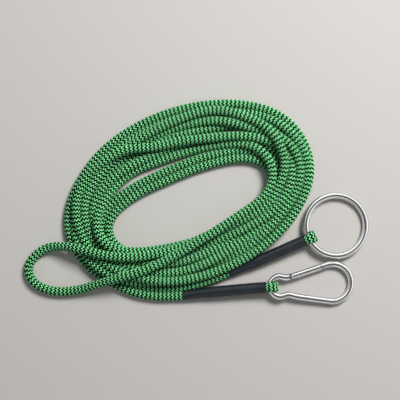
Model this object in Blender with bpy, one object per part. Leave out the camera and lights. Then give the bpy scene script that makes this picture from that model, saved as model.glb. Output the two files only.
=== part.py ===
"""Training leash, coiled for storage: a round braided cord with a snap hook spliced into one
end and a welded ring spliced into the other.

Metres, +Z up. The leash lies on z = 0 with its origin at the middle of its footprint. The cord
is folded in half and wound doubled, so both ends finish together at the coil's lower right and
the middle of the cord sticks out of the coil at the left as a free loop.
"""

import math

import bmesh
import bpy
from mathutils import Matrix, Vector

# Driving dimensions
CORD_RADIUS = 0.003
GAP = 0.0003  # between pieces that touch
FIT_GAP = 0.00015  # between the small metal pieces of the gate

# Coil: two egg-shaped edges that share one tilt, and the height of two layers of cord
COIL_TILT = math.radians(21.7)
OUTER_EDGE = {"centre": (0.0104, 0.0092), "axes": (0.0885, 0.0565), "egg": (-0.0157, -0.0112)}
INNER_EDGE = {"centre": (0.0028, 0.0001), "axes": (0.0587, 0.0212), "egg": (-0.0082, -0.0028)}
COIL_HEIGHT = 0.0122
COIL_STATIONS = 56
HUMP_HEIGHT = 0.0045  # where the loop's two strands cross over the coil
HUMP_ANGLE = math.radians(236)
HUMP_HALF_WIDTH = math.radians(48)
# The coil's section, counter-clockwise: (across from the hole to the outside, height), both 0 to 1
COIL_SECTION = (
    (0.10, 0.0),
    (0.90, 0.0),
    (0.99, 0.20),
    (1.0, 0.46),
    (0.96, 0.78),
    (0.84, 0.97),
    (0.62, 1.0),
    (0.38, 1.0),
    (0.16, 0.97),
    (0.04, 0.78),
    (0.0, 0.46),
    (0.01, 0.20),
)

# Free stretches of cord, as points that the cord passes through
ROUTE_STEP = 0.008
BIGHT_ROUTE = (
    (-0.0790, -0.0318, 0.0085),
    (-0.0852, -0.0309, 0.0058),
    (-0.0925, -0.0300, 0.0036),
    (-0.1000, -0.0303, 0.0031),
    (-0.1072, -0.0342, 0.0031),
    (-0.1127, -0.0410, 0.0031),
    (-0.1143, -0.0482, 0.0031),
    (-0.1112, -0.0548, 0.0031),
    (-0.1044, -0.0597, 0.0031),
    (-0.0964, -0.0622, 0.0031),
    (-0.0882, -0.0624, 0.0031),
    (-0.0794, -0.0607, 0.0040),
    (-0.0712, -0.0579, 0.0068),
    (-0.0632, -0.0550, 0.0096),
    (-0.0530, -0.0512, 0.0116),
    (-0.0450, -0.0497, 0.0126),
)
HOOK_LEAD_ROUTE = (
    (-0.0743, -0.0430, 0.0031),
    (-0.0689, -0.0484, 0.0031),
    (-0.0622, -0.0528, 0.0031),
    (-0.0540, -0.0570, 0.0031),
    (-0.0470, -0.0602, 0.0031),
    (-0.0390, -0.0629, 0.0031),
    (-0.0290, -0.0646, 0.0031),
    (-0.0190, -0.0650, 0.0031),
    (-0.0092, -0.0646, 0.0033),
)

# Splices: the anchor is the centre of the metal wire in the cord's eye, and the far end is
# where the sleeve ends on the single cord
SMALL_CENTRE = Vector((0.0576, -0.0583))  # of the hook's small end
RING_CENTRE = Vector((0.0958, -0.0168))
EYE_HEIGHT = 0.0056
HOOK_HEADING = math.radians(4.0)
HOOK_SLEEVE_END = Vector((-0.0089, -0.0646, 0.0034))
RING_HEADING = math.radians(25.0)
RING_SLEEVE_END = Vector((0.0222, -0.0491, 0.0034))
EYE_BEND_RADIUS = 0.0039  # of the cord's middle round the wire
EYE_ARC_END = math.radians(115)
EYE_HALF_WIDTH = 0.0029
EYE_HALF_THICKNESS = 0.00135
LEG_OFFSET = 0.0015  # of each of the two cords from the sleeve's axis
LEG_HALF_WIDTH = 0.00265
LEG_START = 0.0065  # distances back from the anchor along the sleeve
TAIL_END = 0.0395
TAPER_END = 0.0480
SINGLE_RADIUS = 0.0026
EYE_SIDES = 12

# Sleeve stations: (distance back from the anchor, half width, half height) of the outside
SLEEVE_STATIONS = (
    (0.0034, 0.0041, 0.0053),
    (0.0052, 0.0041, 0.0050),
    (0.0080, 0.0041, 0.0045),
    (0.0130, 0.00405, 0.0043),
    (0.0270, 0.0040, 0.0042),
    (0.0380, 0.0039, 0.0039),
    (0.0440, 0.0036, 0.0036),
    (0.0500, 0.0034, 0.0034),
)
SLEEVE_END_RADIUS = 0.0033
SLEEVE_WALL = 0.00045
SLEEVE_SIDES = 20
WHIPPING_SPAN = (0.0140, 0.0260)
WHIPPING_HALF_WIDTH = 0.00345
WHIPPING_HALF_HEIGHT = 0.00370
WHIPPING_WALL = 0.0003

# Ring
RING_MEAN_RADIUS = 0.0207
WIRE_RADIUS = 0.0022
RING_STATIONS = 96
WIRE_SIDES = 28

# Snap hook, in its own frame: the origin is the centre of the small end
SMALL_RADIUS = 0.0070
BIG_CENTRE = Vector((0.0361, 0.0024))
BIG_RADIUS = 0.0128
SPINE_SLOPE = math.radians(-8.0)
# The wire's two necks, where the small end meets the hinge and the spine
HINGE_NECK = (
    (0.0086, 0.0068, 0.0),
    (0.0056, 0.0063, 0.0),
    (0.0034, 0.0061, 0.0),
    (0.0016, 0.0064, 0.0),
    (-0.0007, 0.00696, 0.0),
)
SPINE_NECK = (
    (0.0018, -0.00676, 0.0),
    (0.0035, -0.0062, 0.0),
    (0.0049, -0.0058, 0.0),
    (0.0062, -0.00575, 0.0),
    (0.0080, -0.00615, 0.0),
    (0.0105, -0.00685, 0.0),
    (0.0130, -0.00729, 0.0),
)
GATE_SLOPE = math.radians(18.2)
HINGE_X = 0.0091
TONGUE_HALF_THICKNESS = 0.00075
LATCH_HALF_THICKNESS = 0.0007

# Gate, in its own frame: the origin is the hinge rivet and +X runs along the gate
GATE_RADIUS = 0.0022
GATE_LENGTH = 0.0221
GATE_SIDES = 32
JOINT_X = 0.0204  # where the slanted joint with the nose crosses the gate's axis
JOINT_SLANT = math.radians(34.8)
JOINT_GAP = 0.0004
SHOULDER_CUT_RADIUS = 0.0033
NOSE_NOTCH = (0.0235, -0.0021)
NOSE_NOTCH_RADIUS = 0.0005
RIVET_RADIUS = 0.0009
RIVET_HOLE_RADIUS = 0.00098
LATCH_PIN_PLACE = (0.0201, -0.0011)
LATCH_PIN_RADIUS = 0.0007
BORE_RADIUS = 0.00125
BORE_SPAN = (0.0014, 0.0120)
HINGE_SLOT_END = 0.0032
LATCH_SLOT_START = 0.0167
CAM_X = 0.0016  # the flat end of the hook's hinge tongue
PLUNGER_RADIUS = 0.00105
PLUNGER_SHOULDER = 0.0042
STEM_RADIUS = 0.00055
STEM_END = 0.0060
SPRING_RADIUS = 0.00085
SPRING_WIRE_RADIUS = 0.00018
SPRING_SPAN = (0.0047, 0.0116)
SPRING_TURNS = 8
SPRING_STEPS_PER_TURN = 14

# Outlines of the hook's two tongues, in the gate's frame
HINGE_TONGUE = (
    (CAM_X, -0.0017),
    (CAM_X, 0.0017),
    (0.0009, 0.0020),
    (-0.0003, 0.0021),
    (-0.0039, 0.0026),
    (-0.0053, 0.0002),
    (-0.0008, -0.0018),
    (0.0004, -0.0020),
)
LATCH_TONGUE = (
    (0.0235, 0.0017),
    (0.0179, 0.0017),
    (0.0174, 0.0011),
    (0.0174, -0.0009),
    (0.0179, -0.0015),
    (0.0188, -0.0015),
    (0.0191, -0.0010),
    (0.0191, -0.0006),
    (0.0196, -0.00015),
    (0.0206, -0.00015),
    (0.0211, -0.0006),
    (0.0211, -0.0015),
    (0.0235, -0.0015),
)

LIGHT_GREEN = (0.13, 0.66, 0.15)
BLACK_RUBBER = (0.022, 0.028, 0.034)
WAXED_THREAD = (0.05, 0.05, 0.05)
STEEL = (0.72, 0.72, 0.73)


# ---- Scene, materials and objects ----


def clear_scene():
    for obj in list(bpy.data.objects):
        bpy.data.objects.remove(obj, do_unlink=True)


def principled(name, colour, roughness, metallic=0.0):
    material = bpy.data.materials.new(name)
    material.use_nodes = True
    shader = material.node_tree.nodes["Principled BSDF"]
    shader.inputs["Base Color"].default_value = (*colour, 1.0)
    shader.inputs["Roughness"].default_value = roughness
    shader.inputs["Metallic"].default_value = metallic
    return material


def cord_material(name):
    return principled(name, LIGHT_GREEN, 0.8)


def sleeve_material(name):
    return principled(name, BLACK_RUBBER, 0.5)


def thread_material(name):
    return principled(name, WAXED_THREAD, 0.7)


def steel_material(name):
    return principled(name, STEEL, 0.18, 1.0)


def link(name, data, material, parent=None):
    obj = bpy.data.objects.new(name, data)
    bpy.context.scene.collection.objects.link(obj)
    if material is not None:
        data.materials.append(material)
    obj.parent = parent
    return obj


def mesh_object(name, bm, material, parent=None, smooth_angle=math.radians(40)):
    bmesh.ops.recalc_face_normals(bm, faces=bm.faces)
    mesh = bpy.data.meshes.new(name)
    bm.to_mesh(mesh)
    bm.free()
    mesh.shade_smooth()
    mesh.set_sharp_from_angle(angle=smooth_angle)
    return link(name, mesh, material, parent)


def empty(name, matrix, parent=None):
    obj = bpy.data.objects.new(name, None)
    bpy.context.scene.collection.objects.link(obj)
    obj.parent = parent
    obj.matrix_local = matrix
    return obj


def combine(obj, other, operation):
    """Joins or cuts obj with other, which stays in the file as a hidden guide."""
    other.hide_render = True
    other.display_type = "WIRE"
    modifier = obj.modifiers.new(other.name, "BOOLEAN")
    modifier.operation = operation
    modifier.solver = "EXACT"
    modifier.object = other


# ---- Shapes ----


def loft(rings, closed=False):
    """One closed body through rings of points; a closed loft has no caps."""
    bm = bmesh.new()
    loops = [[bm.verts.new(point) for point in ring] for ring in rings]
    pairs = list(zip(loops, loops[1:]))
    if closed:
        pairs.append((loops[-1], loops[0]))
    else:
        bm.faces.new(loops[0])
        bm.faces.new(loops[-1])
    for first, second in pairs:
        count = len(first)
        for i in range(count):
            j = (i + 1) % count
            bm.faces.new((first[i], first[j], second[j], second[i]))
    return bm


def circle(radius, sides):
    step = 2 * math.pi / sides
    return [(radius * math.cos(i * step), radius * math.sin(i * step)) for i in range(sides)]


def section_ring(centre, side, up, section):
    return [centre + side * a + up * b for a, b in section]


def flat_path_rings(points, section, closed=False):
    """Rings of a section along a path in the XY plane."""
    rings = []
    count = len(points)
    for i, point in enumerate(points):
        ahead = points[(i + 1) % count] if closed or i < count - 1 else points[i]
        behind = points[i - 1] if closed or i > 0 else points[i]
        along = (ahead - behind).normalized()
        side = Vector((along.y, -along.x, 0.0))
        rings.append(section_ring(point, side, Vector((0, 0, 1)), section))
    return rings


def arc(centre, radius, start, end, steps):
    points = []
    for i in range(steps + 1):
        angle = start + (end - start) * i / steps
        x = centre[0] + radius * math.cos(angle)
        y = centre[1] + radius * math.sin(angle)
        points.append(Vector((x, y, 0.0)))
    return points


def rod(radius, sides, start, end, axis="Z", place=(0.0, 0.0)):
    """A cylinder along X or Z, from start to end, whose axis passes through place."""
    rings = []
    for along in (start, end):
        if axis == "X":
            rings.append([Vector((along, place[0] + a, place[1] + b)) for a, b in circle(radius, sides)])
        else:
            rings.append([Vector((place[0] + a, place[1] + b, along)) for a, b in circle(radius, sides)])
    return loft(rings)


def block(low, high):
    corners = [(low[0], low[1]), (high[0], low[1]), (high[0], high[1]), (low[0], high[1])]
    return loft([[Vector((x, y, z)) for x, y in corners] for z in (low[2], high[2])])


def plate(outline, half_thickness):
    return loft([[Vector((x, y, z)) for x, y in outline] for z in (-half_thickness, half_thickness)])


def smooth_route(points, step):
    """Points a step apart along a smooth curve through the given points."""
    knots = [Vector(p) for p in points]
    knots = [2 * knots[0] - knots[1], *knots, 2 * knots[-1] - knots[-2]]
    fine = []
    for p0, p1, p2, p3 in zip(knots, knots[1:], knots[2:], knots[3:]):
        for i in range(24):
            t = i / 24
            bend = (2 * p0 - 5 * p1 + 4 * p2 - p3) * t * t + (3 * p1 - p0 - 3 * p2 + p3) * t * t * t
            fine.append(p1 + ((p2 - p0) * t + bend) * 0.5)
    fine.append(knots[-2])
    total = sum((b - a).length for a, b in zip(fine, fine[1:]))
    count = max(2, round(total / step))
    spaced = [fine[0]]
    travelled = 0.0
    for a, b in zip(fine, fine[1:]):
        length = (b - a).length
        while len(spaced) < count and travelled + length >= total * len(spaced) / count:
            share = (total * len(spaced) / count - travelled) / length
            spaced.append(a.lerp(b, share))
        travelled += length
    spaced.append(fine[-1])
    return spaced


# ---- Cord ----


def cord_curve(name, points, radius, material):
    curve = bpy.data.curves.new(name, "CURVE")
    curve.dimensions = "3D"
    curve.bevel_depth = radius
    curve.bevel_resolution = 3
    curve.use_fill_caps = True
    spline = curve.splines.new("POLY")
    spline.points.add(len(points) - 1)
    for spline_point, point in zip(spline.points, points):
        spline_point.co = (*point, 1.0)
    return link(name, curve, material)


def coil_edge(edge, angle):
    """A point on an egg-shaped edge, in the XY plane."""
    u = edge["axes"][0] * math.cos(angle) + edge["egg"][0] * math.cos(2 * angle)
    v = edge["axes"][1] * math.sin(angle) + edge["egg"][1] * math.sin(2 * angle)
    turned = Matrix.Rotation(COIL_TILT, 2) @ Vector((u, v))
    return turned + Vector(edge["centre"])


def coil_height(angle):
    away = abs((angle - HUMP_ANGLE + math.pi) % (2 * math.pi) - math.pi)
    share = min(1.0, away / HUMP_HALF_WIDTH)
    return COIL_HEIGHT + HUMP_HEIGHT * math.cos(share * math.pi / 2) ** 2


def make_coil():
    rings = []
    for i in range(COIL_STATIONS):
        angle = 2 * math.pi * i / COIL_STATIONS
        inner = coil_edge(INNER_EDGE, angle)
        outer = coil_edge(OUTER_EDGE, angle)
        height = coil_height(angle)
        rings.append([(*inner.lerp(outer, across), height * up) for across, up in COIL_SECTION])
    return mesh_object("cord_coil", loft(rings, closed=True), cord_material("coil_cord"))


def cut_groove(coil, name, points, radius):
    """Cuts the room that a cord or sleeve takes beside or under the coil."""
    groove = cord_curve(name, points, radius + GAP, None)
    mesh = bpy.data.meshes.new_from_object(groove)
    bpy.data.objects.remove(groove)
    combine(coil, link(name, mesh, None), "DIFFERENCE")


def extend(points, start, end):
    """The same points with both ends moved outwards along the path."""
    first = points[0] + (points[0] - points[1]).normalized() * start
    last = points[-1] + (points[-1] - points[-2]).normalized() * end
    return [first, *points[1:-1], last]


# ---- Splices: cord eye, whipping and sleeve ----


class SpliceFrame:
    """Maps distances along, across and above a splice to places in the world."""

    def __init__(self, anchor, heading, far_end):
        self.anchor = anchor
        self.forward = Vector((math.cos(heading), math.sin(heading), 0.0))
        self.far_end = far_end
        self.length = (far_end - anchor).length
        self.bend = anchor - self.forward * self.length / 2

    def at(self, along, across, above):
        t = min(1.0, max(0.0, -along / self.length))
        place = self.anchor * (1 - t) ** 2 + self.bend * 2 * t * (1 - t) + self.far_end * t * t
        forward = (self.anchor - self.bend) * (1 - t) + (self.bend - self.far_end) * t
        forward.normalize()
        place = place + forward * max(0.0, along)
        side = Vector((-forward.y, forward.x, 0.0)).normalized()
        return place + side * across + forward.cross(side) * above


def wire_reach(across, bend_radius):
    """How far the wire's inner side reaches from the tangent at the eye."""
    return bend_radius - math.sqrt((bend_radius - WIRE_RADIUS) ** 2 - across * across)


def eye_section(half_width, half_thickness, cup, bend_radius):
    """A flattened cord; cup, 0 to 1, is how far its inner side follows the bent wire."""
    points = []
    for i in range(EYE_SIDES):
        angle = 2 * math.pi * (i + 0.5) / EYE_SIDES
        across = half_width * math.cos(angle)
        away = half_thickness * math.sin(angle)
        if away < 0:
            nearest = wire_reach(across, bend_radius) + GAP - EYE_BEND_RADIUS
            away += cup * max(0.0, nearest - away)
        points.append((across, away))
    return points


def upper_leg_path():
    """Stations from the arc's end back to the tail's end: (along, above, slope, cup)."""
    start = Vector((math.cos(EYE_ARC_END), math.sin(EYE_ARC_END))) * EYE_BEND_RADIUS
    end = Vector((-LEG_START, LEG_OFFSET))
    pull = 0.0032
    leave = start + Vector((-math.sin(EYE_ARC_END), math.cos(EYE_ARC_END))) * pull
    arrive = end + Vector((pull, 0.0))
    stations = []
    for i in range(1, 6):
        t = i / 5
        r = 1 - t
        place = start * r**3 + leave * 3 * r * r * t + arrive * 3 * r * t * t + end * t**3
        along = (leave - start) * r * r + (arrive - leave) * 2 * r * t + (end - arrive) * t * t
        stations.append((place, along.normalized(), 1 - t))
    for along in (0.0130, 0.0200, 0.0270, 0.0340, TAIL_END):
        stations.append((Vector((-along, LEG_OFFSET)), Vector((-1.0, 0.0)), 0.0))
    return stations


def eye_rings(frame, bend_radius):
    """Rings along the eye, from the tail's end round the wire to the single cord."""

    def ring(place, along, section):
        outward = Vector((along.y, -along.x))
        points = []
        for across, away in section:
            spot = place + outward * away
            points.append(frame.at(spot.x, across, spot.y))
        return points

    def leg_section(cup):
        half_width = LEG_HALF_WIDTH + (EYE_HALF_WIDTH - LEG_HALF_WIDTH) * cup
        return eye_section(half_width, EYE_HALF_THICKNESS, cup, bend_radius)

    upper = upper_leg_path()
    rings = []
    for place, along, cup in reversed(upper):
        lower_place = Vector((place.x, -place.y))
        lower_along = Vector((-along.x, along.y))
        rings.append(ring(lower_place, lower_along, leg_section(cup)))
    for i in range(13):
        angle = -EYE_ARC_END + 2 * EYE_ARC_END * i / 12
        direction = Vector((math.cos(angle), math.sin(angle)))
        along = Vector((-direction.y, direction.x))
        rings.append(ring(direction * EYE_BEND_RADIUS, along, leg_section(1.0)))
    for place, along, cup in upper:
        rings.append(ring(place, along, leg_section(cup)))
    back = Vector((-1.0, 0.0))
    for share in (0.33, 0.67, 1.0):
        half_width = LEG_HALF_WIDTH + (SINGLE_RADIUS - LEG_HALF_WIDTH) * share
        half_thickness = EYE_HALF_THICKNESS + (SINGLE_RADIUS - EYE_HALF_THICKNESS) * share
        place = Vector((-(TAIL_END + (TAPER_END - TAIL_END) * share), LEG_OFFSET * (1 - share)))
        rings.append(ring(place, back, eye_section(half_width, half_thickness, 0.0, bend_radius)))
    end = Vector((-frame.length, 0.0))
    rings.append(ring(end, back, eye_section(SINGLE_RADIUS, SINGLE_RADIUS, 0.0, bend_radius)))
    return rings


def oval(half_width, half_height, sides):
    return [(half_width * a, half_height * b) for a, b in circle(1.0, sides)]


def splice_ring(frame, back, section):
    return [frame.at(-back, across, above) for across, above in section]


def make_sleeve(name, frame):
    stations = [*SLEEVE_STATIONS, (frame.length, SLEEVE_END_RADIUS, SLEEVE_END_RADIUS)]
    outer = []
    inner = []
    for back, half_width, half_height in stations:
        outer.append(splice_ring(frame, back, oval(half_width, half_height, SLEEVE_SIDES)))
        bore = oval(half_width - SLEEVE_WALL, half_height - SLEEVE_WALL, SLEEVE_SIDES)
        inner.append(splice_ring(frame, back, bore))
    return mesh_object(name, loft(outer + inner[::-1], closed=True), sleeve_material(name))


def make_whipping(name, frame):
    outer = []
    inner = []
    for back in WHIPPING_SPAN:
        section = oval(WHIPPING_HALF_WIDTH, WHIPPING_HALF_HEIGHT, SLEEVE_SIDES)
        outer.append(splice_ring(frame, back, section))
        width = WHIPPING_HALF_WIDTH - WHIPPING_WALL
        height = WHIPPING_HALF_HEIGHT - WHIPPING_WALL
        inner.append(splice_ring(frame, back, oval(width, height, SLEEVE_SIDES)))
    return mesh_object(name, loft(outer + inner[::-1], closed=True), thread_material(name))


def make_splice(name, frame, bend_radius):
    mesh_object(f"{name}_cord_eye", loft(eye_rings(frame, bend_radius)), cord_material(f"{name}_eye"))
    make_whipping(f"{name}_whipping", frame)
    make_sleeve(f"{name}_sleeve", frame)


# ---- Ring ----


def make_ring(anchor):
    """A welded ring that leans from its cord eye down to the surface."""
    lean = math.asin((EYE_HEIGHT - WIRE_RADIUS) / (2 * RING_MEAN_RADIUS))
    turn = Matrix.Rotation(RING_HEADING, 4, "Z") @ Matrix.Rotation(lean, 4, "Y")
    swing = empty("ring_swing", Matrix.Translation(anchor) @ turn)
    path = arc((RING_MEAN_RADIUS, 0.0), RING_MEAN_RADIUS, 0.0, 2 * math.pi, RING_STATIONS)[:-1]
    rings = flat_path_rings(path, circle(WIRE_RADIUS, WIRE_SIDES), closed=True)
    mesh_object("ring", loft(rings, closed=True), steel_material("ring_steel"), swing)


# ---- Snap hook ----


def hook_path():
    """The wire's centreline, from the hinge round the small end, spine and big end to the nose."""
    points = smooth_route(HINGE_NECK, 0.0011)
    points += arc((0.0, 0.0), SMALL_RADIUS, math.radians(103), math.radians(278), 22)
    points += smooth_route(SPINE_NECK, 0.0011)
    tangent_angle = math.radians(-90) + SPINE_SLOPE
    points += arc(BIG_CENTRE, BIG_RADIUS, tangent_angle, math.radians(90) + GATE_SLOPE, 36)
    back = Vector((-math.cos(GATE_SLOPE), -math.sin(GATE_SLOPE), 0.0))
    nose_start = points[-1]
    points.append(nose_start + back * 0.0025)
    points.append(nose_start + back * 0.0062)
    return points


def hinge_place():
    """The rivet's centre, on the line of the gate."""
    angle = math.radians(90) + GATE_SLOPE
    tangent = BIG_CENTRE + Vector((math.cos(angle), math.sin(angle))) * BIG_RADIUS
    return Vector((HINGE_X, tangent.y - (tangent.x - HINGE_X) * math.tan(GATE_SLOPE), 0.0))


def joint_block(name, gate_frame, beyond):
    """A block on one side of the slanted joint between gate and nose."""
    side = 1.0 if beyond else -1.0
    bm = block((0.0, -0.006, -0.004), (side * 0.010, 0.006, 0.004))
    offset = 0.0 if beyond else JOINT_GAP
    place = Matrix.Translation((JOINT_X, 0.0, 0.0)) @ Matrix.Rotation(JOINT_SLANT, 4, "Z")
    obj = mesh_object(name, bm, None, gate_frame)
    obj.matrix_local = place @ Matrix.Translation((offset, 0.0, 0.0))
    return obj


def make_hook_body(hook_frame, gate_frame):
    rings = flat_path_rings(hook_path(), circle(WIRE_RADIUS, WIRE_SIDES))
    body = mesh_object("hook_body", loft(rings), steel_material("hook_steel"), hook_frame)
    shoulder = rod(SHOULDER_CUT_RADIUS, GATE_SIDES, -0.004, 0.004)
    combine(body, mesh_object("shoulder_cut", shoulder, None, gate_frame), "DIFFERENCE")
    combine(body, joint_block("nose_cut", gate_frame, beyond=False), "DIFFERENCE")
    notch = rod(NOSE_NOTCH_RADIUS, 16, -0.004, 0.004, place=NOSE_NOTCH)
    combine(body, mesh_object("nose_notch", notch, None, gate_frame), "DIFFERENCE")
    hinge = plate(HINGE_TONGUE, TONGUE_HALF_THICKNESS)
    combine(body, mesh_object("hinge_tongue", hinge, None, gate_frame), "UNION")
    latch = plate(LATCH_TONGUE, LATCH_HALF_THICKNESS)
    combine(body, mesh_object("latch_tongue", latch, None, gate_frame), "UNION")
    hole = rod(RIVET_HOLE_RADIUS, GATE_SIDES, -0.002, 0.002)
    combine(body, mesh_object("tongue_hole", hole, None, gate_frame), "DIFFERENCE")


def gate_bar():
    """A round bar with a ball end at the hinge."""
    rings = []
    for degrees in (80, 60, 40, 20, 0):
        angle = math.radians(degrees)
        section = circle(GATE_RADIUS * math.cos(angle), GATE_SIDES)
        rings.append([Vector((-GATE_RADIUS * math.sin(angle), a, b)) for a, b in section])
    rings.append([Vector((GATE_LENGTH, a, b)) for a, b in circle(GATE_RADIUS, GATE_SIDES)])
    return loft(rings)


def make_gate(gate_frame):
    gate = mesh_object("gate", gate_bar(), steel_material("gate_steel"), gate_frame)
    reach = 0.004
    hinge_half = TONGUE_HALF_THICKNESS + FIT_GAP
    latch_half = LATCH_HALF_THICKNESS + FIT_GAP
    hinge_slot = block((-reach, -reach, -hinge_half), (HINGE_SLOT_END, reach, hinge_half))
    latch_slot = block((LATCH_SLOT_START, -reach, -latch_half), (0.025, reach, latch_half))
    bore = rod(BORE_RADIUS, GATE_SIDES, *BORE_SPAN, axis="X")
    rivet_hole = rod(RIVET_HOLE_RADIUS, GATE_SIDES, -reach, reach)
    pin_hole = rod(LATCH_PIN_RADIUS + FIT_GAP / 2, GATE_SIDES, -reach, reach, place=LATCH_PIN_PLACE)
    for name, bm in (
        ("hinge_slot", hinge_slot),
        ("latch_slot", latch_slot),
        ("spring_bore", bore),
        ("rivet_hole", rivet_hole),
        ("latch_pin_hole", pin_hole),
    ):
        combine(gate, mesh_object(name, bm, None, gate_frame), "DIFFERENCE")
    combine(gate, joint_block("gate_end_cut", gate_frame, beyond=True), "DIFFERENCE")


def make_gate_pins(gate_frame):
    half = GATE_RADIUS + 0.00005
    stations = [(half - 0.0003, 0.00035), (half, 0.0005), (half, RIVET_RADIUS)]
    stations = [(-z, radius) for z, radius in stations] + stations[::-1]
    rings = [[Vector((a, b, z)) for a, b in circle(radius, GATE_SIDES)] for z, radius in stations]
    mesh_object("gate_rivet", loft(rings), steel_material("pin_steel"), gate_frame)
    pin = rod(LATCH_PIN_RADIUS, GATE_SIDES, -0.00175, 0.00175, place=LATCH_PIN_PLACE)
    mesh_object("latch_pin", pin, steel_material("latch_steel"), gate_frame)


def make_plunger(gate_frame):
    nose = CAM_X + FIT_GAP
    stations = (
        (nose, PLUNGER_RADIUS * 0.8),
        (nose + 0.0002, PLUNGER_RADIUS),
        (PLUNGER_SHOULDER, PLUNGER_RADIUS),
        (PLUNGER_SHOULDER, STEM_RADIUS),
        (STEM_END, STEM_RADIUS),
    )
    rings = [[Vector((x, a, b)) for a, b in circle(radius, GATE_SIDES // 2)] for x, radius in stations]
    mesh_object("spring_plunger", loft(rings), steel_material("plunger_steel"), gate_frame)


def make_spring(gate_frame):
    start, end = SPRING_SPAN
    count = SPRING_TURNS * SPRING_STEPS_PER_TURN
    section = circle(SPRING_WIRE_RADIUS, 6)
    rings = []
    for i in range(count + 1):
        angle = 2 * math.pi * i / SPRING_STEPS_PER_TURN
        outward = Vector((0.0, math.cos(angle), math.sin(angle)))
        centre = Vector((start + (end - start) * i / count, 0.0, 0.0)) + outward * SPRING_RADIUS
        rings.append(section_ring(centre, outward, Vector((1.0, 0.0, 0.0)), section))
    mesh_object("gate_spring", loft(rings), steel_material("spring_steel"), gate_frame)


def hook_lean():
    reach = SMALL_RADIUS * math.cos(HOOK_HEADING) + BIG_CENTRE.x + BIG_RADIUS
    return math.asin((EYE_HEIGHT - WIRE_RADIUS) / reach)


def make_hook(anchor):
    """The hook leans from its cord eye down to the surface, and swings about that eye."""
    swing = empty("hook_swing", Matrix.Translation(anchor))
    drop = (anchor.x - SMALL_CENTRE.x) * math.sin(hook_lean())
    small_centre = Vector((*SMALL_CENTRE, EYE_HEIGHT + drop))
    place = Matrix.Translation(small_centre - anchor) @ Matrix.Rotation(hook_lean(), 4, "Y")
    hook_frame = empty("hook_frame", place, swing)
    gate_place = Matrix.Translation(hinge_place()) @ Matrix.Rotation(GATE_SLOPE, 4, "Z")
    gate_frame = empty("gate_frame", gate_place, hook_frame)
    make_hook_body(hook_frame, gate_frame)
    make_gate(gate_frame)
    make_gate_pins(gate_frame)
    make_plunger(gate_frame)
    make_spring(gate_frame)


# ---- Whole leash ----


def hook_anchor():
    outward = Vector((-math.cos(HOOK_HEADING), -math.sin(HOOK_HEADING))) * SMALL_RADIUS
    return Vector((*(SMALL_CENTRE + outward), EYE_HEIGHT))


def ring_anchor():
    outward = Vector((-math.cos(RING_HEADING), -math.sin(RING_HEADING))) * RING_MEAN_RADIUS
    return Vector((*(RING_CENTRE + outward), EYE_HEIGHT))


def sleeve_axis(frame):
    return [frame.at(-frame.length * i / 6, 0.0, 0.0) for i in range(7)]


def main():
    clear_scene()
    hook_splice = SpliceFrame(hook_anchor(), HOOK_HEADING, HOOK_SLEEVE_END)
    ring_splice = SpliceFrame(ring_anchor(), RING_HEADING, RING_SLEEVE_END)
    bight = smooth_route(BIGHT_ROUTE, ROUTE_STEP)
    hook_lead = smooth_route(HOOK_LEAD_ROUTE, ROUTE_STEP)

    coil = make_coil()
    cut_groove(coil, "bight_groove", extend(bight, GAP, GAP), CORD_RADIUS)
    cut_groove(coil, "hook_lead_groove", extend(hook_lead, GAP, GAP), CORD_RADIUS)
    widest = SLEEVE_STATIONS[0][1]
    cut_groove(coil, "ring_sleeve_groove", extend(sleeve_axis(ring_splice), 0.006, GAP), widest)
    cord_curve("cord_bight", bight, CORD_RADIUS, cord_material("bight_cord"))
    cord_curve("cord_hook_lead", hook_lead, CORD_RADIUS, cord_material("lead_cord"))

    make_splice("hook", hook_splice, SMALL_RADIUS)
    make_splice("ring", ring_splice, RING_MEAN_RADIUS)
    make_ring(ring_splice.anchor)
    make_hook(hook_splice.anchor)


main()
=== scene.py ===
"""Looks for the training leash: the braided cord as it really lies in its coil, the cord eyes,
the heat-shrink sleeves and the polished steel. Metres, +Z up, in the CAD's frame."""

import math

import bmesh
import bpy
import numpy as np
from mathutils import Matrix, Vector


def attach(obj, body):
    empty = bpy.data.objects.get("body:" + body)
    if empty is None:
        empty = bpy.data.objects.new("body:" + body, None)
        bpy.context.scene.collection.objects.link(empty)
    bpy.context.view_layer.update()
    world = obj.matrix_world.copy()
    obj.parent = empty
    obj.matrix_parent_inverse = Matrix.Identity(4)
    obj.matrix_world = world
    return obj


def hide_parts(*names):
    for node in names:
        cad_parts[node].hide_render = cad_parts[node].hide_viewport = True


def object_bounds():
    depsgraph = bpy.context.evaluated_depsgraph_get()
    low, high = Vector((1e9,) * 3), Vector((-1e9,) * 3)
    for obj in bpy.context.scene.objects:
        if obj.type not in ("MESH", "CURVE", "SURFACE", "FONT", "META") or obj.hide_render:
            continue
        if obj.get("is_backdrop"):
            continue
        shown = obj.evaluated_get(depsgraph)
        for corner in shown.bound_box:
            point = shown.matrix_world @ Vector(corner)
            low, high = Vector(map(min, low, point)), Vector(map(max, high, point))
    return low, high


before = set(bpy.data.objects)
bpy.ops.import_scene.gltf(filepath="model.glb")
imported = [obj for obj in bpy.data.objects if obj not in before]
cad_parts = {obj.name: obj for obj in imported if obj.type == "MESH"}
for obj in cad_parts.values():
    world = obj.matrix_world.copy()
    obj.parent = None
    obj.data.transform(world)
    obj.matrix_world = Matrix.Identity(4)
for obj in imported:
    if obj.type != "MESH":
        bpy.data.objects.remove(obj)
cad_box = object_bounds()

# The cord
CORD_DIAMETER = 0.0060
CORD_RADIUS = CORD_DIAMETER / 2
PRESSED_DIAMETER = 0.0055  # between the middles of two cords pressed together
# Heights of the middle of a cord in the bundle
LOW, MIDDLE, HIGH, UPPER, TOP = 0.0031, 0.0055, 0.0082, 0.0105, 0.0130

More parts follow.
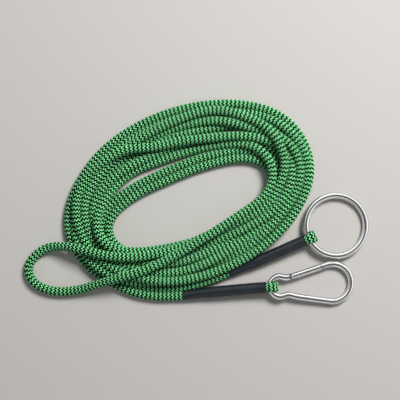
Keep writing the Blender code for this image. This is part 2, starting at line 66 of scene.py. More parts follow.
# The coil's edges, as in the CAD: centre, half lengths, and how far they are egg-shaped
COIL_TILT = math.radians(21.7)
OUTER_EDGE = ((0.0104, 0.0092), (0.0885, 0.0565), (-0.0157, -0.0112))
INNER_EDGE = ((0.0028, 0.0001), (0.0587, 0.0212), (-0.0082, -0.0028))

# Where each pass lies in the bundle at these angles round the coil, turn by turn:
# (across from the hole to the outside, 0 to 1, and height)
KEY_ANGLES = (185, 150, 130, 110, 85, 55, 15, -25, -60, -125)
HOOK_SIDE_TURNS = (
    (
        *((0.86, LOW), (0.92, LOW), (0.945, LOW), (0.955, LOW), (0.955, LOW)),
        *((0.96, LOW), (0.93, LOW), (0.90, LOW), (0.81, LOW), (0.80, LOW)),
    ),
    (
        *((0.78, HIGH), (0.76, LOW), (0.80, LOW), (0.83, LOW), (0.825, LOW)),
        *((0.84, LOW), (0.82, HIGH), (0.85, HIGH), (0.84, HIGH), (0.82, HIGH)),
    ),
    (
        *((0.58, HIGH), (0.86, HIGH), (0.78, UPPER), (0.51, HIGH), (0.42, HIGH)),
        *((0.46, HIGH), (0.61, LOW), (0.49, HIGH), (0.40, HIGH), (0.29, LOW)),
    ),
    (
        *((0.08, LOW), (0.07, LOW), (0.03, LOW), (-0.01, LOW), (0.02, LOW)),
        *((0.09, LOW), (0.13, LOW), (0.12, LOW), (0.18, LOW), (0.09, LOW)),
    ),
    (
        *((0.28, TOP), (0.36, HIGH), (0.41, LOW), (0.31, LOW), (0.30, LOW)),
        *((0.33, MIDDLE), (0.16, HIGH)),
    ),
)
RING_SIDE_TURNS = (
    (
        *((0.68, LOW), (0.61, LOW), (0.66, LOW), (0.705, LOW), (0.70, MIDDLE)),
        *((0.57, MIDDLE), (0.67, HIGH), (0.66, HIGH), (0.56, HIGH), (0.63, LOW)),
    ),
    (
        *((0.48, LOW), (0.46, LOW), (0.52, LOW), (0.58, LOW), (0.575, LOW)),
        *((0.70, LOW), (0.77, LOW), (0.71, LOW), (0.66, LOW), (0.46, LOW)),
    ),
    (
        *((0.28, LOW), (0.23, LOW), (0.155, LOW), (0.12, LOW), (0.15, LOW)),
        *((0.22, LOW), (0.29, LOW), (0.33, LOW), (0.35, LOW), (0.42, HIGH)),
    ),
    (
        *((0.18, HIGH), (0.53, HIGH), (0.50, HIGH), (0.445, LOW), (0.45, LOW)),
        *((0.41, LOW), (0.45, LOW), (0.52, LOW), (0.51, LOW), (0.64, HIGH)),
    ),
    (
        *((0.38, HIGH), (0.70, HIGH), (0.74, MIDDLE), (0.79, HIGH), (0.86, HIGH)),
        *((0.71, HIGH), (0.48, HIGH)),
    ),
)
# How each side's last turn runs on: (angle, across, height)
HOOK_SIDE_END = ((-25, 0.12, HIGH), (-60, 0.13, HIGH))
RING_SIDE_END = ((-25, 0.30, HIGH), (-60, 0.25, HIGH))

# Distances between points along the cord: when planned, where its parts are joined into one
# smooth line, and while it settles
PLAN_STEP, KNOT_STEP, SETTLING_STEP = 0.002, 0.012, 0.004

# How the cord settles, in each round: metres sunk, and shares of the way back to its plan
SETTLING_ROUNDS = 420
SINK, EARLY_SINK = 0.00001, 0.00002
PULL_SIDEWAYS, EARLY_PULL_SIDEWAYS = 0.006, 0.03
EARLY_PULL_UP = 0.008
STEPS_APART = 5  # points nearer than this along the cord are one stretch of it

# Free stretches of the cord
HOOK_LEAD = (
    (-0.0040, -0.0643, 0.0035),
    (-0.0092, -0.0646, 0.0033),
    (-0.0190, -0.0650, 0.0031),
    (-0.0290, -0.0646, 0.0031),
    (-0.0390, -0.0629, 0.0031),
    (-0.0470, -0.0602, 0.0031),
    (-0.0540, -0.0570, 0.0031),
    (-0.0622, -0.0528, 0.0031),
    (-0.0689, -0.0484, 0.0031),
    (-0.0743, -0.0430, 0.0031),
)
RING_LEAD = (
    (0.0266, -0.0471, 0.0036),
    (0.0222, -0.0491, 0.0034),
    (0.0120, -0.0528, 0.0031),
    (0.0010, -0.0560, 0.0031),
    (-0.0120, -0.0580, 0.0031),
    (-0.0260, -0.0575, 0.0031),
    (-0.0390, -0.0545, 0.0031),
    (-0.0510, -0.0490, 0.0031),
    (-0.0610, -0.0420, 0.0031),
)
BIGHT = (
    (0.0068, -0.0252, 0.0130),
    (-0.0012, -0.0291, 0.0135),
    (-0.0078, -0.0330, 0.0140),
    (-0.0143, -0.0374, 0.0142),
    (-0.0208, -0.0400, 0.0142),
    (-0.0295, -0.0443, 0.0142),
    (-0.0382, -0.0483, 0.0138),
    (-0.0464, -0.0501, 0.0132),
    (-0.0529, -0.0513, 0.0122),
    (-0.0630, -0.0550, 0.0095),
    (-0.0707, -0.0577, 0.0066),
    (-0.0794, -0.0606, 0.0040),
    (-0.0880, -0.0623, 0.0031),
    (-0.0977, -0.0623, 0.0031),
    (-0.1063, -0.0598, 0.0031),
    (-0.1140, -0.0546, 0.0031),
    (-0.1166, -0.0481, 0.0031),
    (-0.1158, -0.0436, 0.0031),
    (-0.1108, -0.0371, 0.0031),
    (-0.1042, -0.0321, 0.0031),
    (-0.0972, -0.0299, 0.0036),
    (-0.0901, -0.0304, 0.0060),
    (-0.0812, -0.0307, 0.0092),
    (-0.0723, -0.0331, 0.0120),
    (-0.0621, -0.0355, 0.0138),
    (-0.0484, -0.0372, 0.0142),
    (-0.0348, -0.0368, 0.0142),
    (-0.0211, -0.0344, 0.0130),
    (-0.0089, -0.0310, 0.0112),
)

# The sky that the steel mirrors: (height, brightness) on its bright side and its dim side
BRIGHT_SIDE = ((0.0, 0.20), (0.22, 0.9), (0.45, 2.0), (0.75, 1.6), (0.9, 0.30), (0.97, 0.12))
DIM_SIDE = ((0.0, 0.10), (0.25, 0.20), (0.42, 1.4), (0.58, 1.0), (0.7, 0.15), (0.97, 0.10))

# Splices, as in the CAD: name, centre of the metal's bend, heading, its radius, sleeve's far end,
# and the eye's half width over the metal
SPLICES = (
    ("hook", (0.0576, -0.0583), math.radians(4.0), 0.0070, (-0.0089, -0.0646, 0.0034), 0.0031),
    ("ring", (0.0958, -0.0168), math.radians(25.0), 0.0207, (0.0222, -0.0491, 0.0034), 0.0040),
)
EYE_HEIGHT = 0.0056
EYE_BEND_RADIUS = 0.0039
EYE_HALF_THICKNESS = 0.00145
EYE_ARC_END = math.radians(112)
EYE_LEG_HEIGHT = 0.0016  # from the splice's middle up or down to the middle of each leg
EYE_LEG_HALF_WIDTH = 0.0027
WIRE_RADIUS = 0.0022
SLEEVE_WALL = 0.00045
# A sleeve's outside, in millimetres: (back from the wire, half width, half height). The last
# row is the far end, wherever that is.
SLEEVE_PROFILE = (
    (3.0, 4.15, 5.20),
    (3.6, 4.05, 5.15),
    (5.2, 4.05, 4.95),
    (8.0, 4.10, 4.50),
    (13.0, 4.05, 4.30),
    (27.0, 4.00, 4.20),
    (37.0, 3.95, 4.00),
    (42.0, 3.70, 3.70),
    (47.0, 3.42, 3.42),
    (60.0, 3.25, 3.25),
)
SLEEVE_START = 0.0032
TAIL_END, TAIL_TAPER = 0.040, 0.006  # where the doubled cord's tail ends, back from the wire
WAIST_DEPTH = 0.00022  # how far the sleeve dips between the two cords
FRONT_LIP, BACK_LIP = (0.00018, 0.0007), (0.00010, 0.0006)  # height and width of each rim
# Small ripples in the sleeves: (waves per metre, turns round the sleeve, height)
SLEEVE_RIPPLES = ((90, 1, 5.0e-5), (160, 2, 3.5e-5), (260, 3, 2.2e-5), (430, 2, 1.4e-5))

# The camera looks straight down; this much is seen across the picture, one cord above the floor
CAMERA_HEIGHT = 0.66
VIEW_WIDTH = 0.2728

# Braid: yarns cross two over, two under, so the lattice repeats every four columns
BRAID_COLUMNS = 32
BRAID_PITCH = 0.00070  # between levels along the cord
EYE_BRAID_PITCH = 0.00058  # the eye's cord is pushed together
BRAID_INSET = 0.00008  # keeps the crowns of the yarns near the cord's radius
YARN_CROWN = 0.00010
YARN_MIDDLE = 0.00016
YARN_VALLEY = -0.00020
YARN_CROWDING = 0.95  # how far dark yarns push light ones, in half levels
ZIGZAG = 0.38  # how much steeper the pulled braid's zigzags are, in half levels


# ---- Smooth lines ----


def evenly_spaced(line, step):
    """Points about a step apart along a line, ends included."""
    lengths = np.linalg.norm(np.diff(line, axis=0), axis=1)
    travelled = np.concatenate([[0.0], np.cumsum(lengths)])
    count = max(2, round(travelled[-1] / step))
    places = np.linspace(0.0, travelled[-1], count + 1)
    return np.stack([np.interp(places, travelled, line[:, i]) for i in range(3)], -1)


def smooth_line(points, step, detail=16):
    """Evenly spaced points along a smooth curve through the given points."""
    knots = np.asarray(points, float)
    first = 2 * knots[0] - knots[1]
    last = 2 * knots[-1] - knots[-2]
    knots = np.concatenate([[first], knots, [last]])
    p0, p1, p2, p3 = (knots[i : len(knots) - 3 + i, None, :] for i in range(4))
    t = (np.arange(detail) / detail)[None, :, None]
    bend = (2 * p0 - 5 * p1 + 4 * p2 - p3) * t**2 + (3 * p1 - p0 - 3 * p2 + p3) * t**3
    fine = (p1 + 0.5 * ((p2 - p0) * t + bend)).reshape(-1, 3)
    return evenly_spaced(np.concatenate([fine, knots[-2:-1]]), step)


# ---- The cord's route ----


def coil_edge(edge, angle):
    (x0, y0), (a, b), (egg_x, egg_y) = edge
    u = a * np.cos(angle) + egg_x * np.cos(2 * angle)
    v = b * np.sin(angle) + egg_y * np.sin(2 * angle)
    x = x0 + u * math.cos(COIL_TILT) - v * math.sin(COIL_TILT)
    y = y0 + u * math.sin(COIL_TILT) + v * math.cos(COIL_TILT)
    return np.stack([x, y], -1)


def wound_line(turns, end):
    """One side's turns round the coil, from the outside in."""
    rows = []
    for k, turn in enumerate(turns):
        for degrees, (across, height) in zip(KEY_ANGLES, turn):
            rows.append((degrees - 360 * k, across, height))
    whole_turns = 360 * (len(turns) - 1)
    rows += [(degrees - whole_turns, across, height) for degrees, across, height in end]
    angles, across, height = np.array(rows).T
    angles = -np.radians(angles)
    fine = np.linspace(angles[0], angles[-1], 400 * len(turns))
    i = np.clip(np.searchsorted(angles, fine, side="right") - 1, 0, len(angles) - 2)
    share = (fine - angles[i]) / (angles[i + 1] - angles[i])
    share = share * share * (3 - 2 * share)
    across = across[i] + (across[i + 1] - across[i]) * share
    height = height[i] + (height[i + 1] - height[i]) * share
    inner = coil_edge(INNER_EDGE, -fine)
    outer = coil_edge(OUTER_EDGE, -fine)
    flat = inner + (outer - inner) * across[:, None]
    return np.concatenate([flat, height[:, None]], 1)


def planned_route():
    """The whole cord, from the hook's sleeve round the coil and the bight to the ring's."""
    pieces = (
        smooth_line(HOOK_LEAD, PLAN_STEP),
        wound_line(HOOK_SIDE_TURNS, HOOK_SIDE_END),
        smooth_line(BIGHT, PLAN_STEP),
        wound_line(RING_SIDE_TURNS, RING_SIDE_END)[::-1],
        smooth_line(RING_LEAD, PLAN_STEP)[::-1],
    )
    knots = []
    for piece in pieces:
        thinned = evenly_spaced(piece, KNOT_STEP)
        if knots and np.linalg.norm(knots[-1] - thinned[0]) < 0.75 * KNOT_STEP:
            thinned = thinned[1:]
        knots += list(thinned)
    return smooth_line(knots, SETTLING_STEP)


def settle(planned):
    """Lets the planned cord find its place: it sinks, rests on the floor and on itself, and is
    drawn back towards its plan. The early rounds move it most."""
    points = planned.copy()
    count = len(points)
    for i in range(SETTLING_ROUNDS):
        early = 1 - i / SETTLING_ROUNDS
        points[:, 2] -= SINK + EARLY_SINK * early
        pull = PULL_SIDEWAYS + EARLY_PULL_SIDEWAYS * early
        points[:, :2] += pull * (planned[:, :2] - points[:, :2])
        points[:, 2] += EARLY_PULL_UP * early * (planned[:, 2] - points[:, 2])
        if i % 8 == 0:  # neighbours change slowly
            square = ((points[:, None, :] - points[None, :, :]) ** 2).sum(-1)
            first, second = np.nonzero(square < (CORD_DIAMETER * 1.7) ** 2)
            apart = second - first > STEPS_APART
            first, second = first[apart], second[apart]
        for _ in range(2):
            between = points[second] - points[first]
            distance = np.linalg.norm(between, axis=1) + 1e-9
            overlap = np.maximum(0.0, PRESSED_DIAMETER - distance)
            push = between * (overlap / distance / 2)[:, None]
            moved = np.zeros_like(points)
            np.add.at(moved, second, push)
            np.add.at(moved, first, -push)
            touching = overlap > 0
            touches = np.bincount(second[touching], minlength=count).astype(float)
            touches += np.bincount(first[touching], minlength=count)
            points += 0.9 * moved / np.maximum(1.0, touches / 2)[:, None]
            points[:, 2] = np.maximum(points[:, 2], CORD_RADIUS)
        shift = points - planned
        points[1:-1] += 0.5 * ((shift[:-2] + shift[2:]) / 2 - shift[1:-1])
        points[[0, -1]] = planned[[0, -1]]
        points[:, 2] = np.maximum(points[:, 2], CORD_RADIUS)
    return points


def eased(points, rounds):
    """Takes small kinks out of a line without moving its ends."""
    points = points.copy()
    for _ in range(rounds):
        points[1:-1] += 0.5 * ((points[:-2] + points[2:]) / 2 - points[1:-1])
        points[:, 2] = np.maximum(points[:, 2], CORD_RADIUS)
    return points


# ---- Materials ----


def material(name, colour, roughness, metallic=0.0, **sockets):
    made = bpy.data.materials.new(name)
    made.use_nodes = True
    shader = made.node_tree.nodes["Principled BSDF"]
    shader.inputs["Base Color"].default_value = (*colour, 1.0)
    shader.inputs["Roughness"].default_value = roughness
    shader.inputs["Metallic"].default_value = metallic
    for socket, value in sockets.items():
        shader.inputs[socket.replace("_", " ")].default_value = value
    return made


def yarn_materials():
    """Light yarns then dark ones, each in slightly different shades."""
    light = ((0.310, 0.960, 0.420), (0.340, 1.000, 0.460), (0.265, 0.890, 0.360))
    dark = ((0.0001, 0.0060, 0.0006), (0.0002, 0.0085, 0.0010))
    kinds = (("light", light, 0.7, 0.3), ("dark", dark, 0.8, 0.0))
    return [
        material(f"{kind}_yarn_{i}", colour, roughness, Specular_IOR_Level=gloss)
        for kind, colours, roughness, gloss in kinds
        for i, colour in enumerate(colours)
    ]


def noise(nodes, links, scale, detail=4.0):
    place = nodes.new("ShaderNodeTexCoord")
    made = nodes.new("ShaderNodeTexNoise")
    made.inputs["Scale"].default_value = scale
    made.inputs["Detail"].default_value = detail
    links.new(place.outputs["Object"], made.inputs["Vector"])
    return made


def ramp(nodes, links, source, low, high):
    """Turns a noise into values between low and high, which are numbers or colours."""
    made = nodes.new("ShaderNodeValToRGB")
    made.color_ramp.elements[0].position = 0.35
    made.color_ramp.elements[1].position = 0.65
    for element, value in zip(made.color_ramp.elements, (low, high)):
        element.color = (*value, 1.0) if isinstance(value, tuple) else (value, value, value, 1.0)
    links.new(source.outputs["Fac"], made.inputs["Fac"])
    return made


def bump(nodes, links, shader, source, strength, distance):
    made = nodes.new("ShaderNodeBump")
    made.inputs["Strength"].default_value = strength
    made.inputs["Distance"].default_value = distance
    links.new(source.outputs["Fac"], made.inputs["Height"])
    links.new(made.outputs["Normal"], shader.inputs["Normal"])


def sleeve_material():
    """Satin heat-shrink tube, blue-black, a little dusty."""
    made = material("heat_shrink", (0.010, 0.014, 0.018), 0.45, Specular_IOR_Level=0.4)
    nodes, links = made.node_tree.nodes, made.node_tree.links
    shader = nodes["Principled BSDF"]
    patches = noise(nodes, links, 140.0)
    colour = ramp(nodes, links, patches, (0.007, 0.011, 0.014), (0.016, 0.021, 0.025))
    links.new(colour.outputs["Color"], shader.inputs["Base Color"])
    gloss = ramp(nodes, links, noise(nodes, links, 420.0), 0.38, 0.55)
    links.new(gloss.outputs["Color"], shader.inputs["Roughness"])
    bump(nodes, links, shader, noise(nodes, links, 1400.0), 0.25, 0.0001)
    return made


def steel_material(name, roughness):
    """Polished steel with faint wear: its gloss changes a little from place to place."""
    made = material(name, (0.74, 0.735, 0.73), roughness, 1.0)
    nodes, links = made.node_tree.nodes, made.node_tree.links
    shader = nodes["Principled BSDF"]
    gloss = ramp(nodes, links, noise(nodes, links, 260.0), roughness * 0.7, roughness * 1.5)
    links.new(gloss.outputs["Color"], shader.inputs["Roughness"])
    bump(nodes, links, shader, noise(nodes, links, 700.0, 2.0), 0.06, 0.0001)
    return made


def finish_metal():
    for node, roughness in (
        ("ring", 0.13),
        ("hook_body", 0.13),
        ("gate", 0.16),
        ("gate_rivet", 0.25),
        ("latch_pin", 0.25),
        ("gate_spring", 0.3),
        ("spring_plunger", 0.3),
    ):
        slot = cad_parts[node].material_slots[0]
        slot.material = steel_material(f"{node}_steel", roughness)


def finish_thread():
    thread = material("whipping_thread", (0.03, 0.03, 0.03), 0.7)
    for node in ("hook_whipping", "ring_whipping"):
        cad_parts[node].material_slots[0].material = thread


YARNS = yarn_materials()
LIGHT_SHADES = 3


# ---- Braided cord ----


def carried_frames(line, up=(0.0, 0.0, 1.0)):
    """Side and up directions carried along a line without twist."""
    along = np.gradient(line, axis=0)
    along /= np.linalg.norm(along, axis=1)[:, None]
    ups = np.zeros_like(line)
    current = np.array(up, float)
    for i, direction in enumerate(along):
        current = current - direction * current.dot(direction)
        current /= np.linalg.norm(current)
        ups[i] = current
    return np.cross(along, ups), ups


def strand_of(level, column):
    """The strand that a stitch belongs to, and whether it leans right. Even strands are light."""
    column = column % BRAID_COLUMNS
    leans_right = column % 4 < 2
    return np.where(leans_right, column - level, column + level) // 2, leans_right


def shade_of_yarn(strand, leaning):
    """Each carrier keeps its own shade all along."""
    spread = (strand * 7 + leaning * 5) % 16
    return np.where(strand % 2 == 0, spread % LIGHT_SHADES, LIGHT_SHADES + spread % 2)


def crowd_light_yarns(grid):
    """Moves the borders between light and dark yarns, because the dark ones are thicker, and
    makes the zigzags steeper."""
    rows, columns = grid.shape[:2]
    along = np.zeros_like(grid)
    along[2:-2] = (grid[4:] - grid[:-4]) / 4
    row, column = np.meshgrid(np.arange(rows), np.arange(columns), indexing="ij")
    level = row // 2
    whole = row % 2 == 0
    odd = (level + column) % 2 == 1
    before = np.where(whole, level - 1, level)
    column_before = np.where(whole | ~odd, column, column + 1)
    after = level + 1
    column_after = np.where(whole | odd, column, column + 1)
    light_before = strand_of(before, column_before)[0] % 2 == 0
    light_after = strand_of(after, column_after)[0] % 2 == 0
    shift = YARN_CROWDING * (light_after.astype(float) - light_before)
    shift[whole & ~odd] = 0.0
    place = (column + (row % 2) / 2) % 4
    shift += ZIGZAG * (1 - np.abs(place - 2))
    return grid + along * shift[..., None]


def braid_mesh(name, levels, place):
    """A braided tube. place(rows, angle, relief) gives the points of a set of half levels.
    Every lattice cell whose column and level add up to an even number is one visible stitch:
    a diamond of four quads."""
    columns = BRAID_COLUMNS
    rows = np.arange(2 * levels + 1)
    grid = np.zeros((len(rows), columns, 3))
    for row in (0, 1):
        these = rows[rows % 2 == row]
        column = np.arange(columns)[None, :] + row / 2
        level = (these // 2)[:, None]
        whole = np.arange(columns)[None, :]
        if row == 0:
            stitch = (whole + level) % 2 == 0
            relief = np.where(stitch, YARN_CROWN, YARN_VALLEY)
        else:
            leans_right = ((whole + level) % 2 == 0) & (whole % 4 == 0)
            leans_left = ((whole + level) % 2 == 1) & (whole % 4 == 2)
            between_same = ((whole + level) % 2 == 1) & (whole % 4 == 0)
            between_same |= ((whole + level) % 2 == 0) & (whole % 4 == 2)
            relief = np.where(leans_right | leans_left, YARN_MIDDLE, YARN_VALLEY / 2)
            relief = np.where(between_same, YARN_VALLEY * 0.8, relief)
        grid[these] = place(these, 2 * math.pi * column / columns, relief)
    grid = crowd_light_yarns(grid)

    def vertex(row, column):
        return row * columns + column % columns

    level, column = np.meshgrid(np.arange(levels + 1), np.arange(columns), indexing="ij")
    row = level * 2
    inside = (level > 0) & (level < levels)
    flat_quads = np.stack(
        [
            vertex(row, column),
            vertex(row - 1, column),
            vertex(row, column + 1),
            vertex(row + 1, column),
        ],
        -1,
    )[inside]
    flat_owner = np.stack([level, column + (level + column) % 2], -1)[inside]
    below = level < levels
    tall_quads = np.stack(
        [
            vertex(row, column),
            vertex(row + 1, column),
            vertex(row + 2, column),
            vertex(row + 1, column - 1),
        ],
        -1,
    )[below]
    tall_owner = np.stack([level + (level + column) % 2, column], -1)[below]
    quads = np.concatenate([flat_quads, tall_quads])
    owner = np.concatenate([flat_owner, tall_owner])
    shades = shade_of_yarn(*strand_of(owner[:, 0], owner[:, 1]))
    ends = end_triangles(levels, columns)
    return mesh_from_arrays(name, grid.reshape(-1, 3), quads, ends, shades)


def end_triangles(levels, columns):
    """The border triangles beside each end's saw-tooth edge, and the end caps."""
    triangles = []
    caps = []
    for end_row, inner_row in ((0, 1), (2 * levels, 2 * levels - 1)):
        for column in range(columns):
            corner = end_row * columns + column
            beside = end_row * columns + (column + 1) % columns
            triangle = [corner, beside, inner_row * columns + column]
            triangles.append(triangle if end_row else triangle[::-1])
        caps.append([end_row * columns + column for column in range(columns)])
    return triangles, [caps[0][::-1], caps[1]]


def mesh_from_arrays(name, vertices, quads, ends, shades):
    triangles, caps = ends
    extra = [*triangles, *caps]
    sizes = [4] * len(quads) + [len(face) for face in extra]
    flat = np.concatenate([quads.ravel(), *[np.array(face) for face in extra]])
    mesh = bpy.data.meshes.new(name)
    mesh.vertices.add(len(vertices))
    mesh.vertices.foreach_set("co", vertices.ravel().astype(np.float32))
    mesh.loops.add(len(flat))
    mesh.loops.foreach_set("vertex_index", flat.astype(np.int32))
    mesh.polygons.add(len(sizes))
    starts = np.concatenate([[0], np.cumsum(sizes)[:-1]])
    mesh.polygons.foreach_set("loop_start", starts.astype(np.int32))
    for yarn in YARNS:
        mesh.materials.append(yarn)
    indices = np.concatenate([shades, np.full(len(extra), LIGHT_SHADES)])
    mesh.polygons.foreach_set("material_index", indices.astype(np.int32))
    mesh.update(calc_edges=True)
    mesh.validate()
    mesh.shade_smooth()
    obj = bpy.data.objects.new(name, mesh)
    bpy.context.scene.collection.objects.link(obj)
    return obj


# ---- Splices: the cord's eye and its heat-shrink sleeve ----


class Splice:
    """Maps distances along, across and above a splice to the row's frame, as the CAD does."""

    def __init__(self, name, anchor, heading, far_end, bend_radius, eye_half_width):
        self.name = name
        self.eye_half_width = eye_half_width
        self.anchor = np.array(anchor)
        self.far_end = np.array(far_end)
        self.length = float(np.linalg.norm(self.far_end - self.anchor))
        forward = np.array((math.cos(heading), math.sin(heading), 0.0))
        self.bend = self.anchor - forward * self.length / 2
        self.bend_radius = bend_radius

    def at(self, along, across, above):
        along, across, above = np.broadcast_arrays(along, across, above)
        t = np.clip(-along / self.length, 0.0, 1.0)[..., None]
        middle = self.anchor * (1 - t) ** 2 + self.bend * 2 * t * (1 - t) + self.far_end * t * t
        forward = (self.anchor - self.bend) * (1 - t) + (self.bend - self.far_end) * t
        forward = forward / np.linalg.norm(forward, axis=-1, keepdims=True)
        middle = middle + forward * np.maximum(0.0, along)[..., None]
        side = np.stack([-forward[..., 1], forward[..., 0], 0 * forward[..., 0]], -1)
        side = side / np.linalg.norm(side, axis=-1, keepdims=True)
        up = np.cross(forward, side)
        return middle + side * across[..., None] + up * above[..., None]

    def wire_reach(self, across):
        """How far the bent wire's inner side reaches forward of its middle."""
        inside = self.bend_radius - WIRE_RADIUS
        return inside - np.sqrt(np.maximum(0.0, inside**2 - across**2))


def eye_line(step):
    """The eye's middle, as (along, above): in over the wire, round it, and back under it."""
    upper = []
    end = EYE_ARC_END
    start = np.array((math.cos(end), math.sin(end))) * EYE_BEND_RADIUS
    pull = 0.0030
    leave = start + np.array((-math.sin(end), math.cos(end))) * pull
    for reach in np.linspace(0.016, 0.0075, 6):
        upper.append((-reach, EYE_LEG_HEIGHT))
    corner = np.array((-0.0066, EYE_LEG_HEIGHT))
    arrive = corner + np.array((pull, 0.0))
    for t in np.linspace(0.9, 0.1, 6):
        r = 1 - t
        curve = start * r**3 + leave * 3 * r * r * t + arrive * 3 * r * t * t + corner * t**3
        upper.append(tuple(curve))
    arc = [
        (math.cos(a) * EYE_BEND_RADIUS, math.sin(a) * EYE_BEND_RADIUS)
        for a in np.linspace(end, -end, 17)
    ]
    lower = [(x, -z) for x, z in reversed(upper)]
    flat = np.array([(x, 0.0, z) for x, z in (*upper, *arc, *lower)])
    return smooth_line(flat, step)


def make_eye(splice):
    line = eye_line(EYE_BRAID_PITCH / 2)
    if len(line) % 2 == 0:
        line = line[:-1]
    along = np.gradient(line, axis=0)
    along /= np.linalg.norm(along, axis=1)[:, None]
    outward = np.stack([-along[:, 2], np.zeros(len(along)), along[:, 0]], -1)
    turned = np.clip((line[:, 0] + 0.004) / 0.007, 0.0, 1.0)
    turned = turned * turned * (3 - 2 * turned)
    half_width = EYE_LEG_HALF_WIDTH + (splice.eye_half_width - EYE_LEG_HALF_WIDTH) * turned

    def place(rows, angle, relief):
        width = half_width[rows][:, None]
        across = (width + relief) * np.cos(angle)
        crown = np.sign(np.sin(angle)) * np.abs(np.sin(angle)) ** 0.85
        thick = (EYE_HALF_THICKNESS + relief) * crown
        x = line[rows, 0][:, None] + outward[rows, 0][:, None] * thick
        z = line[rows, 2][:, None] + outward[rows, 2][:, None] * thick
        facing = np.clip(line[rows, 0] / EYE_BEND_RADIUS, 0.0, 1.0)[:, None]
        x = x + splice.wire_reach(across) * facing
        return splice.at(x, across, z)

    eye = braid_mesh(f"{splice.name}_braided_eye", (len(line) - 1) // 2, place)
    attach(eye, "leash")
    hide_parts(f"{splice.name}_cord_eye")
    return eye


def sleeve_size(back, length):
    """Half width and half height of a sleeve's outside, that far back from the wire."""
    stations, widths, heights = np.array(SLEEVE_PROFILE).T / 1000
    stations[-1] = length
    return np.interp(back, stations, widths), np.interp(back, stations, heights)


def make_sleeve(splice, finish, seed):
    """A thin tube shrunk over two cords: it shows where they touch, and where the tail ends."""
    sides, stations = 72, 150
    back = SLEEVE_START + (splice.length - SLEEVE_START) * np.linspace(0, 1, stations)
    angle = 2 * math.pi * np.arange(sides) / sides
    grid_back, grid_angle = np.meshgrid(back, angle, indexing="ij")
    width, height = sleeve_size(grid_back, splice.length)
    doubled = np.clip((TAIL_END - grid_back) / TAIL_TAPER, 0.0, 1.0)
    waist = -WAIST_DEPTH * doubled * np.abs(np.cos(grid_angle)) ** 6
    ripple = np.zeros_like(grid_back)
    for i, (waves, turns, size) in enumerate(SLEEVE_RIPPLES):
        phase = seed + 1.7 * i
        swing = np.sin(waves * grid_back * 2 * math.pi + phase + turns * np.sin(grid_angle + phase))
        ripple += size * swing * np.cos(turns * grid_angle + phase)
    lip = FRONT_LIP[0] * np.exp(-(((grid_back - back[0]) / FRONT_LIP[1]) ** 2))
    lip += BACK_LIP[0] * np.exp(-(((grid_back - back[-1]) / BACK_LIP[1]) ** 2))
    out = waist + ripple + lip
    skins = [
        splice.at(
            -grid_back,
            (width + out - wall) * np.cos(grid_angle),
            (height + out - wall) * np.sin(grid_angle),
        )
        for wall in (0.0, SLEEVE_WALL)
    ]
    rings = np.concatenate([skins[0], skins[1][::-1]])
    count = len(rings)
    ring, side = np.meshgrid(np.arange(count), np.arange(sides), indexing="ij")
    following = (ring + 1) % count
    beside = (side + 1) % sides
    corners = ((ring, side), (following, side), (following, beside), (ring, beside))
    faces = np.stack([r * sides + s for r, s in corners], -1).reshape(-1, 4)
    mesh = bpy.data.meshes.new(f"{splice.name}_shrunk_sleeve")
    mesh.from_pydata(rings.reshape(-1, 3).tolist(), [], faces.tolist())
    mesh.materials.append(finish)
    mesh.shade_smooth()
    mesh.set_sharp_from_angle(angle=math.radians(50))
    sleeve = bpy.data.objects.new(mesh.name, mesh)
    bpy.context.scene.collection.objects.link(sleeve)
    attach(sleeve, "leash")
    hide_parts(f"{splice.name}_sleeve")
    return sleeve


def make_splices():
    finish = sleeve_material()
    pieces = []
    for i, (name, centre, heading, mean_radius, far_end, half_width) in enumerate(SPLICES):
        anchor = (
            centre[0] - mean_radius * math.cos(heading),
            centre[1] - mean_radius * math.sin(heading),
            EYE_HEIGHT,
        )
        splice = Splice(name, anchor, heading, far_end, mean_radius, half_width)
        pieces += [make_eye(splice), make_sleeve(splice, finish, 1.3 + 2.1 * i)]
    return pieces


# ---- Camera, floor and light ----


def make_camera():
    """Straight down, as the picture was taken: its top is +Y."""
    data = bpy.data.cameras.new("camera")
    camera = bpy.data.objects.new("camera", data)
    bpy.context.scene.collection.objects.link(camera)
    camera.location = (0.00273, 0.00068, CAMERA_HEIGHT)
    data.sensor_width = 36
    data.lens = data.sensor_width * (CAMERA_HEIGHT - CORD_DIAMETER) / VIEW_WIDTH
    data.clip_start = 0.01
    bpy.context.scene.camera = camera


def make_floor():
    bm = bmesh.new()
    bmesh.ops.create_grid(bm, x_segments=2, y_segments=2, size=4.0)
    mesh = bpy.data.meshes.new("floor")
    bm.to_mesh(mesh)
    bm.free()
    mesh.materials.append(material("floor", (0.50, 0.48, 0.455), 0.9))
    floor = bpy.data.objects.new("floor", mesh)
    floor.location.z = -0.0002
    bpy.context.scene.collection.objects.link(floor)
    floor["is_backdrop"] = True


def area_light(name, place, size, power):
    data = bpy.data.lights.new(name, "AREA")
    data.shape = "RECTANGLE"
    data.size, data.size_y = size
    data.energy = power
    light = bpy.data.objects.new(name, data)
    bpy.context.scene.collection.objects.link(light)
    light.location = place
    light.rotation_euler = (-Vector(place)).to_track_quat("-Z", "Y").to_euler()
    light.visible_glossy = False  # the steel mirrors only the sky


def dome(nodes, links, height, stops):
    """Brightness of the sky by height: 0 at the horizon, 1 straight above."""
    made = nodes.new("ShaderNodeValToRGB")
    elements = made.color_ramp.elements
    while len(elements) < len(stops):
        elements.new(0.5)
    for element, (position, value) in zip(elements, stops):
        element.position = position
        element.color = (value * 0.97, value * 0.985, value, 1.0)
    links.new(height, made.inputs["Fac"])
    return made.outputs["Color"]


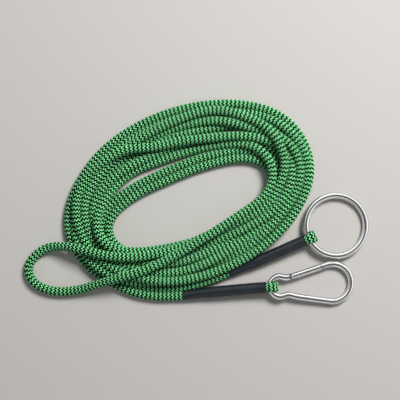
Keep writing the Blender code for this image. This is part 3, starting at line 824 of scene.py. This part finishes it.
def make_light():
    """A soft key light from the upper right under an even sky. Gloss sees another sky, with
    bright sides and a dark top, as in a studio tent."""
    area_light("key", (0.42, 0.55, 0.85), (0.35, 0.35), 15.0)
    world = bpy.data.worlds.new("world")
    bpy.context.scene.world = world
    world.use_nodes = True
    nodes, links = world.node_tree.nodes, world.node_tree.links
    even = nodes["Background"]
    even.inputs["Color"].default_value = (0.95, 0.98, 1.0, 1.0)
    even.inputs["Strength"].default_value = 0.27
    direction = nodes.new("ShaderNodeTexCoord")
    parts = nodes.new("ShaderNodeSeparateXYZ")
    links.new(direction.outputs["Generated"], parts.inputs["Vector"])
    towards = nodes.new("ShaderNodeVectorMath")
    towards.operation = "DOT_PRODUCT"
    towards.inputs[1].default_value = (0.5, 0.87, 0.0)
    links.new(direction.outputs["Generated"], towards.inputs[0])
    side = nodes.new("ShaderNodeMapRange")
    side.inputs["From Min"].default_value = -0.35
    side.inputs["From Max"].default_value = 0.35
    links.new(towards.outputs["Value"], side.inputs["Value"])
    bright = dome(nodes, links, parts.outputs["Z"], BRIGHT_SIDE)
    dim = dome(nodes, links, parts.outputs["Z"], DIM_SIDE)
    both = nodes.new("ShaderNodeMix")
    both.data_type = "RGBA"
    links.new(side.outputs["Result"], both.inputs["Factor"])
    links.new(dim, both.inputs[6])
    links.new(bright, both.inputs[7])
    tent = nodes.new("ShaderNodeBackground")
    links.new(both.outputs[2], tent.inputs["Color"])
    path = nodes.new("ShaderNodeLightPath")
    choice = nodes.new("ShaderNodeMixShader")
    links.new(path.outputs["Is Glossy Ray"], choice.inputs["Fac"])
    links.new(even.outputs["Background"], choice.inputs[1])
    links.new(tent.outputs["Background"], choice.inputs[2])
    links.new(choice.outputs["Shader"], nodes["World Output"].inputs["Surface"])


# ---- Cord ----


def make_cord(with_pieces):
    route = eased(settle(planned_route()), rounds=6)
    line = smooth_line(route, BRAID_PITCH / 2)
    if len(line) % 2 == 0:
        line = line[:-1]
    sides, ups = carried_frames(line)

    def place(rows, angle, relief):
        out = (CORD_RADIUS - BRAID_INSET + relief)[:, :, None]
        around = sides[rows][:, None, :] * np.cos(angle)[:, :, None]
        around = around + ups[rows][:, None, :] * np.sin(angle)[:, :, None]
        return line[rows][:, None, :] + around * out

    cord = braid_mesh("braided_cord", (len(line) - 1) // 2, place)
    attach(cord, "leash")
    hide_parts("cord_coil", "cord_bight", "cord_hook_lead")
    length = float(np.linalg.norm(np.diff(line, axis=0), axis=1).sum())
    tuple(line[0])


bpy.context.scene.view_settings.view_transform = "Standard"
make_camera()
make_floor()
make_light()
make_cord(make_splices())
finish_metal()
finish_thread()

boxes = {"cad": cad_box, "visual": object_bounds()}
{k: [list(map(float, corner)) for corner in box] for k, box in boxes.items()}
